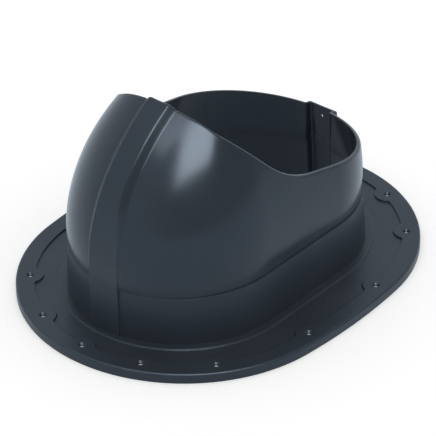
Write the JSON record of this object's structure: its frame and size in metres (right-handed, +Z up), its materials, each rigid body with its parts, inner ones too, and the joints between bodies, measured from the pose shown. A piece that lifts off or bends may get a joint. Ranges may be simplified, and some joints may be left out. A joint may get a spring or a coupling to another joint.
{
  "type": "tile roof vent base",
  "caption": "Moulded roof vent base: oval nailing flange, neck and a leaning domed hood with guide ribs and a sloping open mouth for a vent pipe.",
  "frame": {"origin": "centre of the flange's outline, on the roof face under the lip", "axes": "+X along the flange's length from the high front of the dome to its low back, +Z up off the roof"},
  "size_m": [0.4998, 0.3854, 0.2571],
  "materials": {
    "moulded_plastic": "dark blue-grey satin moulded polymer"
  },
  "bodies": {
    "root": {"vent_base": "moulded_plastic"}
  },
  "joints": []
}
